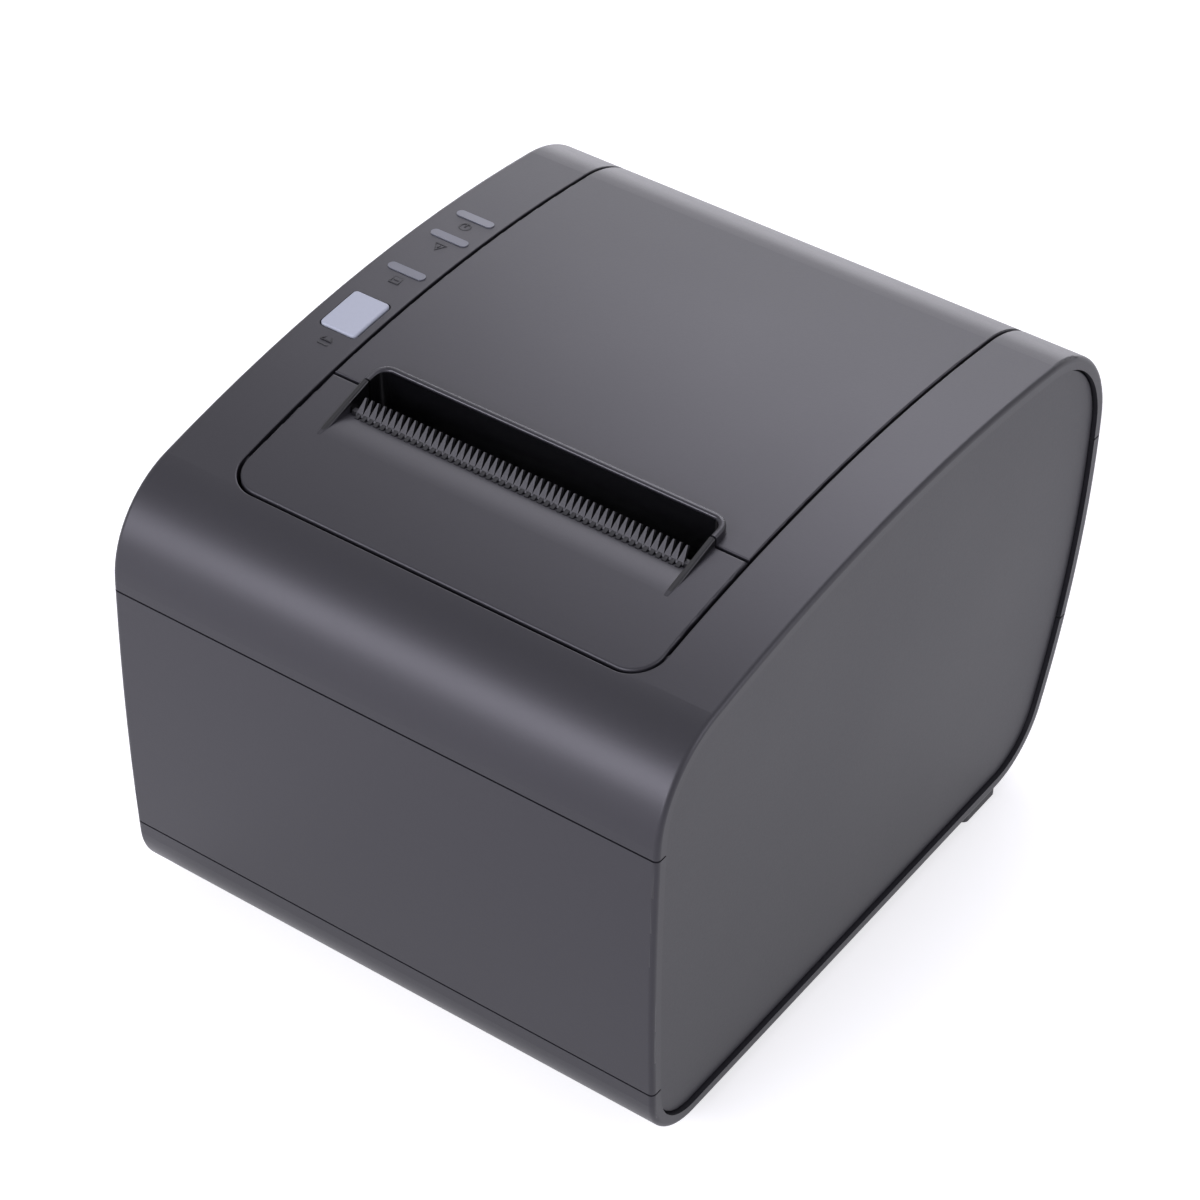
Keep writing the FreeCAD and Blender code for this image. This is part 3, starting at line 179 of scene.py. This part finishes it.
def within(value, low, high):
    """1 where the value lies between low and high, else 0."""
    return (value > low) * (value < high)


def blend(first, second, share):
    """Mean of two values, of which the first has this share."""
    return first * share + second * (1 - share)


def uneven(rough, fine, soft, fine_reach=0.08, soft_reach=0.1):
    """Roughness around a middle, moved by a fine and a soft noise as far as their reach."""
    return fine * fine_reach + soft * soft_reach + (rough - (fine_reach + soft_reach) / 2)


def bump(height, shader, strength, depth):
    """Relief of this depth in the shader's normal."""
    relief = height.make("ShaderNodeBump", {"Height": height, "Strength": strength, "Distance": depth})
    relief.feed(shader, "Normal")


# Finishes
def plastic(name, dark, light, rough, grain=2400, relief=0.12, coat=0.0):
    """Moulded plastic: spark-eroded grain, faint clouding and slightly rubbed patches."""
    look, shader, place = blank(name)
    fine = noise(place, scale=grain, detail=3)
    cloud = noise(place, scale=14, detail=4)
    speck = noise(place, scale=grain * 0.35, detail=2)
    between(blend(cloud, speck, share=0.6), dark, light).feed(shader, "Base Color")
    uneven(rough, fine, cloud).feed(shader, "Roughness")
    bump(blend(fine, speck, share=0.7), shader, strength=relief, depth=0.12 * MM)
    even(shader, {
        "Specular IOR Level": 0.38,
        "Specular Tint": (0.935, 0.92, 1.0, 1),
        "Coat Weight": coat,
        "Coat Roughness": 0.12,
    })
    return look


def case_plastic(name, dark, light, rough):
    """Case plastic: painted shade colours the inside of the paper slot and the fins near black; it is
    polished inside the slot and glossier on the rim.
    """
    look = plastic(name, dark, light, rough)
    tree = look.node_tree
    shader = tree.nodes["Principled BSDF"]
    place = Value(tree, tree.nodes["Texture Coordinate"].outputs["Object"])
    split = place.make("ShaderNodeSeparateXYZ", {"Vector": place})
    x, y, z = (Value(tree, socket) for socket in split.socket.node.outputs)
    side = place.make("ShaderNodeMath", {0: x}, operation="ABSOLUTE")
    inside = (side < SLOT_HALF) * within(y, SLOT_FRONT, SLOT_REAR) * (z < SLOT_TOP)
    rim = within(y, RIM_FRONT, RIM_REAR) * (z > RIM_FOOT)
    proud = z - y * COVER_SLOPE - COVER_HEIGHT > FIN_PROUD
    fins = within(side, FIN_INNER, FIN_OUTER) * within(y, FIN_FRONT, FIN_REAR) * proud
    tone = Value(tree, shader.inputs["Base Color"].links[0].from_socket)
    # Painted shade: the inside of the paper slot and the fins are coloured near black
    between(inside + fins, tone, PAINTED_SHADE_BLACK).feed(shader, "Base Color")
    sheen = Value(tree, shader.inputs["Roughness"].links[0].from_socket)
    (sheen - inside * SLOT_POLISH - rim * RIM_POLISH).feed(shader, "Roughness")
    return look


def metal(name, dark, light, rough, stretch):
    """Drawn or ground metal: fine lines along one axis and a little tarnish."""
    look, shader, place = blank(name)
    lines = noise(place, scale=2600, detail=3, stretch=stretch)
    stain = noise(place, scale=60, detail=4)
    between(blend(lines, stain, share=0.5), dark, light).feed(shader, "Base Color")
    uneven(rough, lines, stain).feed(shader, "Roughness")
    bump(lines, shader, strength=0.02, depth=0.08 * MM)
    even(shader, {"Metallic": 1.0})
    return look


def rubber(name, dark, light, rough):
    """Rubber: dull, with a dusty bloom and a fine pitted skin."""
    look, shader, place = blank(name)
    pits = noise(place, scale=1600, detail=4)
    dust = noise(place, scale=45, detail=5)
    between(dust, dark, light).feed(shader, "Base Color")
    uneven(rough, pits, dust, fine_reach=0.1, soft_reach=0.12).feed(shader, "Roughness")
    bump(pits, shader, strength=0.25, depth=0.2 * MM)
    return look


def board_resin(name):
    """Circuit board: solder mask over paler copper tracks, with a woven glass ground."""
    mask_green = (0.010, 0.075, 0.032)
    track_green = (0.035, 0.19, 0.085)
    least_rough = 0.25
    weave_reach = 0.15
    look, shader, place = blank(name)
    tracks = place.make("ShaderNodeTexBrick", {"Vector": place, "Scale": 160.0, "Mortar Size": 0.06},
                        output="Fac", offset=0.37, squash=2.0)
    weave = noise(place, scale=1400, detail=2, stretch=(1, 0.2, 1))
    between(blend(tracks, weave, share=0.8), mask_green, track_green).feed(shader, "Base Color")
    (weave * weave_reach + least_rough).feed(shader, "Roughness")
    bump(tracks, shader, strength=0.3, depth=0.1 * MM)
    return look


def window_plastic(name):
    """Smoked light guide: cloudy grey with a satin skin."""
    dark = (0.085, 0.09, 0.11)
    light = (0.135, 0.14, 0.17)
    least_rough = 0.42
    cloud_reach = 0.1
    look, shader, place = blank(name)
    cloud = noise(place, scale=220, detail=3)
    between(cloud, dark, light).feed(shader, "Base Color")
    (cloud * cloud_reach + least_rough).feed(shader, "Roughness")
    even(shader, {
        "Coat Weight": 0.1,
        "Subsurface Weight": 0.15,
        "Subsurface Radius": (1 * MM, 1 * MM, 1 * MM),
    })
    return look


# One finish for each slot of the record: its dark and its light tone come first
LOOKS = {
    "case_plastic": case_plastic("case_plastic", (0.0135, 0.013, 0.0165), (0.0190, 0.0185, 0.0225),
                                 rough=0.40),
    "side_plastic": plastic("side_plastic", (0.015, 0.0145, 0.018), (0.021, 0.0205, 0.0245), rough=0.44),
    "trim_plastic": plastic("trim_plastic", (0.31, 0.33, 0.385), (0.37, 0.395, 0.455), rough=0.42,
                            grain=3000, relief=0.05),
    "window_plastic": window_plastic("window_plastic"),
    "comb_metal": plastic("comb_metal", (0.010, 0.010, 0.011), (0.018, 0.018, 0.020), rough=0.46,
                          grain=1800, relief=0.05),
    "foot_rubber": rubber("foot_rubber", (0.035, 0.035, 0.037), (0.075, 0.075, 0.078), rough=0.76),
    "inner_plastic": plastic("inner_plastic", (0.014, 0.014, 0.016), (0.024, 0.024, 0.026), rough=0.5,
                             grain=1500, relief=0.2),
    "gear_plastic": plastic("gear_plastic", (0.58, 0.56, 0.48), (0.70, 0.68, 0.60), rough=0.4,
                            grain=1200, relief=0.05),
    "sheet_steel": metal("sheet_steel", (0.42, 0.43, 0.45), (0.58, 0.59, 0.60), rough=0.42,
                         stretch=(1, 0.05, 0.05)),
    "bright_steel": metal("bright_steel", (0.46, 0.46, 0.47), (0.58, 0.58, 0.59), rough=0.36,
                          stretch=(0.05, 1, 1)),
    "sink_metal": metal("sink_metal", (0.62, 0.62, 0.63), (0.76, 0.76, 0.77), rough=0.38,
                        stretch=(0.04, 1, 1)),
    "head_ceramic": plastic("head_ceramic", (0.66, 0.64, 0.58), (0.75, 0.73, 0.68), rough=0.2,
                            grain=3200, relief=0.03, coat=0.6),
    "roller_rubber": rubber("roller_rubber", (0.016, 0.016, 0.017), (0.028, 0.028, 0.030), rough=0.63),
    "board_resin": board_resin("board_resin"),
    "component_resin": plastic("component_resin", (0.018, 0.018, 0.020), (0.04, 0.04, 0.042), rough=0.5,
                               grain=1300, relief=0.2),
    "lamp_resin": plastic("lamp_resin", (0.62, 0.66, 0.56), (0.74, 0.78, 0.70), rough=0.18,
                          grain=2600, relief=0.02, coat=0.8),
    "rocker_plastic": plastic("rocker_plastic", (0.012, 0.012, 0.013), (0.02, 0.02, 0.022), rough=0.2,
                              grain=2600, relief=0.03, coat=0.5),
}

# Finishes of the two blades, the contacts and the signs, and the painted shade on the ribs below the comb
EXTRA = {
    "blade_steel": metal("blade_steel", (0.10, 0.10, 0.105), (0.15, 0.15, 0.155), rough=0.38,
                         stretch=(0.05, 1, 1)),
    "gilt": metal("gilt", (0.62, 0.42, 0.14), (0.80, 0.58, 0.24), rough=0.25, stretch=(1, 0.1, 1)),
    "white_paint": plastic("white_paint", (0.68, 0.68, 0.67), (0.78, 0.78, 0.77), rough=0.5,
                           grain=2600, relief=0.05),
    # Black of the signs, which also serves as painted shade on the ribs below the comb
    "mark_and_shade_black": plastic("mark_and_shade_black", (0.006, 0.006, 0.007), (0.010, 0.010, 0.011), rough=0.5,
                          grain=2600, relief=0.08),
}
BLADES = ("fixed_blade", "cutter_blade")

for entry in frame["record"]["subparts"]:
    shown = frame["nodes"][entry["node"]]
    shown.data.materials.clear()
    if entry["node"] in BLADES:
        shown.data.materials.append(EXTRA["blade_steel"])
    else:
        shown.data.materials.append(LOOKS[entry["material_slot"]])


# Tools for pieces
def begin():
    """Deselects everything, before a new piece is added."""
    bpy.ops.object.select_all(action="DESELECT")


def finish_piece(name, look, body, smooth=35):
    """Names the active piece, smooths it and lets it ride on a body."""
    piece = bpy.context.object
    piece.name = name
    piece.data.name = name
    piece.data.materials.append(look)
    bpy.ops.object.shade_smooth_by_angle(angle=math.radians(smooth))
    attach(piece, body)
    return piece


def shaped(resize=None, turn=None, axis="X", move=None):
    """Edit-mode changes to every vertex of the active mesh."""
    bpy.ops.object.mode_set(mode="EDIT")
    bpy.ops.mesh.select_all(action="SELECT")
    if resize:
        bpy.ops.transform.resize(value=resize, center_override=(0, 0, 0))
    if turn:
        bpy.ops.transform.rotate(value=turn, orient_axis=axis, center_override=(0, 0, 0))
    if move:
        bpy.ops.transform.translate(value=move)
    bpy.ops.object.mode_set(mode="OBJECT")


def apply_modifier(kind, **settings):
    """Modifier on the active piece with these settings, applied."""
    item = bpy.context.object.modifiers.new(kind.lower(), kind)
    for name, setting in settings.items():
        setattr(item, name, setting)
    bpy.ops.object.modifier_apply(modifier=item.name)


def repeat(count, step):
    """Makes the active piece a straight row of copies."""
    apply_modifier("ARRAY", count=count, use_relative_offset=False, use_constant_offset=True,
                   constant_offset_displace=step)


def bar_row(name, look, body, size, first, count, step, lean=0):
    """Row of small bevelled bars, leaning by degrees; first is the middle of the first one."""
    begin()
    bpy.ops.mesh.primitive_cube_add(size=1)
    shaped(resize=size)
    apply_modifier("BEVEL", width=min(size) * 0.22, segments=2)
    if lean:
        shaped(turn=math.radians(lean))
    repeat(count, (step, 0, 0))
    shaped(move=first)
    finish_piece(name, look, body)


def row_start(middle, count, step):
    """Place of the first of a row of equal steps about a middle."""
    return middle - (count - 1) / 2 * step


# Coil springs behind the print head
def head_springs():
    coils = 6
    wire = 0.35 * MM
    coil_radius = 2.1 * MM
    side_reach = 22 * MM
    low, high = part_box("head_springs")
    length = high[1] - low[1] - 2 * wire
    begin()
    bpy.ops.mesh.primitive_circle_add(vertices=12, radius=wire, fill_type="NOTHING")
    shaped(turn=QUARTER, axis="X", move=(coil_radius, 0, 0))
    apply_modifier("SCREW", axis="Z", angle=2 * math.pi, screw_offset=length / coils, iterations=coils,
                   steps=28, use_merge_vertices=True)
    shaped(turn=QUARTER, axis="X")
    points = [vertex.co.y for vertex in bpy.context.object.data.vertices]
    middle = (min(points) + max(points)) / 2
    shaped(move=(-side_reach, (low[1] + high[1]) / 2 - middle, 97 * MM))
    repeat(2, (2 * side_reach, 0, 0))
    piece = finish_piece("head_spring_coils", LOOKS["bright_steel"], "case", 60)
    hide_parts("head_springs")
    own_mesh(piece)


# Row of fine ribs on the rolled edge below the comb; the ribs are real relief, and their near-black colour
# is painted shade under the teeth
def comb_serrations():
    count = 51
    pitch = 1.64 * MM
    rib = (1.1 * MM, 1.5 * MM, 0.9 * MM)
    first = (row_start(0, count, pitch), -37.25 * MM, 116.62 * MM)
    # The ribs are coloured near black as painted shade under the comb teeth
    bar_row("comb_serrations", EXTRA["mark_and_shade_black"], "cover", rib, first, count, pitch, lean=-13)


# Gilt contacts in the sockets at the rear
def socket_contacts():
    gilt = EXTRA["gilt"]
    pitch = 1.02 * MM
    spring_pin = (0.42 * MM, 10.5 * MM, 0.3 * MM)
    for name, count, middle in (("network", 8, 6 * MM), ("drawer", 6, 27 * MM)):
        first = (row_start(middle, count, pitch), 57.5 * MM, 12.4 * MM)
        bar_row(f"{name}_contacts", gilt, "case", spring_pin, first, count, pitch, lean=8)
    flat_pin = (0.9 * MM, 8 * MM, 0.3 * MM)
    for name, height in (("upper", 16.85 * MM), ("lower", 13.35 * MM)):
        first = (-19.5 * MM, 58.2 * MM, height)
        bar_row(f"usb_contacts_{name}", gilt, "case", flat_pin, first, count=2, step=3 * MM)


# Line and ring on the two halves of the power rocker
def rocker_marks():
    pivot = (44 * MM, 62 * MM, 18.3 * MM)
    lean = math.radians(-10)
    face_slope = math.atan2(1.4, 4.9)
    face_rise = 2.9 * MM
    mark_reach = 2.45 * MM
    for name, side in (("line", 1), ("ring", -1)):
        begin()
        if name == "line":
            bpy.ops.mesh.primitive_cube_add(size=1)
            shaped(resize=(0.4 * MM, 0.12 * MM, 2.2 * MM))
        else:
            bpy.ops.mesh.primitive_torus_add(major_radius=0.95 * MM, minor_radius=0.18 * MM,
                                             major_segments=32, minor_segments=8)
            shaped(turn=QUARTER, axis="X")
        shaped(turn=-side * face_slope, axis="X", move=(0, face_rise, side * mark_reach))
        shaped(turn=lean, axis="X", move=pivot)
        finish_piece(f"rocker_{name}", EXTRA["white_paint"], "rocker")


# Plain raised signs in front of each window and the button
def top_height(y):
    """Height of the arched top at this depth, both in metres."""
    return TOP_CENTRE.z + math.sqrt(TOP_RADIUS ** 2 - (y - TOP_CENTRE.y) ** 2)


def lie_on_top(y):
    """Tilts the active piece to the top surface and puts it on the band, y in millimetres."""
    slope = -math.asin((y * MM - TOP_CENTRE.y) / TOP_RADIUS)
    shaped(turn=slope, axis="X", move=(BAND_X, y * MM, top_height(y * MM)))


def band_sign(name, y, sides, size, spin=0):
    """Flattened ring of straight or round sides on the top surface, in millimetres."""
    stroke = 0.26 * MM
    flatness = 0.55
    begin()
    bpy.ops.mesh.primitive_torus_add(major_radius=size * MM, minor_radius=stroke,
                                     major_segments=sides, minor_segments=8)
    shaped(resize=(1, 1, flatness), turn=math.radians(spin), axis="Z")
    lie_on_top(y)
    finish_piece(name, EXTRA["mark_and_shade_black"], "case")


def band_stroke(name, y, size):
    """Flat bevelled bar on the top surface, in millimetres."""
    thickness = 0.28 * MM
    begin()
    bpy.ops.mesh.primitive_cube_add(size=1)
    shaped(resize=(size[0] * MM, size[1] * MM, thickness))
    apply_modifier("BEVEL", width=0.08 * MM, segments=2)
    lie_on_top(y)
    finish_piece(name, EXTRA["mark_and_shade_black"], "case")


def band_signs():
    band_sign("power_sign", y=25.6, sides=36, size=1.25)
    band_stroke("power_sign_bar", y=26.3, size=(0.45, 1.9))
    band_sign("fault_sign", y=16.2, sides=3, size=1.6, spin=-30)
    band_stroke("fault_sign_bar", y=16.1, size=(0.4, 1.1))
    band_sign("paper_sign", y=1.0, sides=4, size=1.6, spin=45)
    band_stroke("paper_sign_bar", y=1.0, size=(1.3, 0.4))
    band_sign("feed_sign", y=-22.6, sides=3, size=1.6, spin=30)
    band_stroke("feed_sign_bar", y=-24.6, size=(2.6, 0.45))


# Floor, light and camera
def seen_rays(tree):
    """1 where the camera, a reflection or a clear piece looks at the background, else 0."""
    path = tree.nodes.new("ShaderNodeLightPath")
    camera, glossy, clear = (Value(tree, path.outputs[f"Is {ray} Ray"])
                             for ray in ("Camera", "Glossy", "Transmission"))
    return camera.make("ShaderNodeMath", {0: camera + glossy, 1: clear}, operation="ADD", use_clamp=True)


def floor_look():
    """Pale floor that shows white around the object and keeps its soft shadow."""
    near_glow = 0.62
    near_reach = 0.25
    far_reach = 1.0
    look, shader, place = blank("floor")
    even(shader, {
        "Base Color": (0.62, 0.62, 0.63, 1),
        "Roughness": 0.9,
        "Specular IOR Level": 0.0,
        "Emission Strength": 1.0,
    })
    reach = place.make("ShaderNodeVectorMath", {0: place}, output="Value", operation="LENGTH")
    far = reach.make("ShaderNodeMapRange", {"Value": reach, "From Min": near_reach, "From Max": far_reach})
    glow = far * (1 - near_glow) + near_glow
    (seen_rays(look.node_tree) * glow).feed(shader, "Emission Color")
    return look


def lay_floor():
    floor_size = 6
    floor_drop = 0.2 * MM
    begin()
    bpy.ops.mesh.primitive_plane_add(size=floor_size, location=(0, 0, -floor_drop))
    ground = bpy.context.object
    ground.name = "floor"
    ground.data.materials.append(floor_look())


def light_room():
    """Dim room light that looks white to the camera and in reflections."""
    room_light = (0.31, 0.30, 0.35)
    white = (1, 1, 1)
    world = bpy.data.worlds.new("studio")
    bpy.context.scene.world = world
    world.use_nodes = True
    tree = world.node_tree
    between(seen_rays(tree), room_light, white).feed(tree.nodes["Background"], "Color")


def hang_softboxes():
    """Soft area lamps: each has its place, its width and height, and its power."""
    softboxes = {
        "front_strip": ((-0.30, -0.94, 0.50), (0.9, 0.42), 10.0),
        "rear_top": ((-0.32, 0.96, 1.14), (0.9, 0.95), 11.0),
        "rear_low": ((-0.55, 1.25, 0.16), (1.2, 0.4), 4.5),
        "right_fill": ((1.3, 0.25, 0.55), (0.8, 0.8), 6.4),
        "front_fill": ((0.2, -1.5, 0.5), (1.2, 0.6), 5.2),
    }
    lamp_tint = (0.98, 0.965, 1.05)
    aim = Vector((0, 0, 0.07))
    for name, (spot, (wide, tall), power) in softboxes.items():
        lamp = bpy.data.lights.new(name, "AREA")
        lamp.shape = "RECTANGLE"
        lamp.size = wide
        lamp.size_y = tall
        lamp.energy = power
        lamp.color = lamp_tint
        holder = bpy.data.objects.new(name, lamp)
        bpy.context.collection.objects.link(holder)
        holder.location = spot
        holder.rotation_euler = (aim - Vector(spot)).to_track_quat("-Z", "Y").to_euler()


def photo_camera():
    """Camera at the place and with the lens that were fitted to the photo."""
    lens = bpy.data.cameras.new("photo_camera")
    lens.lens = 113.21
    lens.sensor_width = 36
    lens.sensor_fit = "HORIZONTAL"
    holder = bpy.data.objects.new("photo_camera", lens)
    bpy.context.collection.objects.link(holder)
    spot = (0.365739, -0.516017, 0.601649)
    right = (0.810608, 0.585583, 0.002743)
    above = (-0.382168, 0.525465, 0.760154)
    behind = (0.443691, -0.617235, 0.649737)
    turn = Matrix((right, above, behind)).transposed().to_4x4()
    holder.matrix_world = Matrix.Translation(spot) @ turn
    bpy.context.scene.camera = holder


head_springs()
comb_serrations()
socket_contacts()
rocker_marks()
band_signs()
lay_floor()
light_room()
hang_softboxes()
photo_camera()
bpy.context.scene.view_settings.view_transform = "Standard"
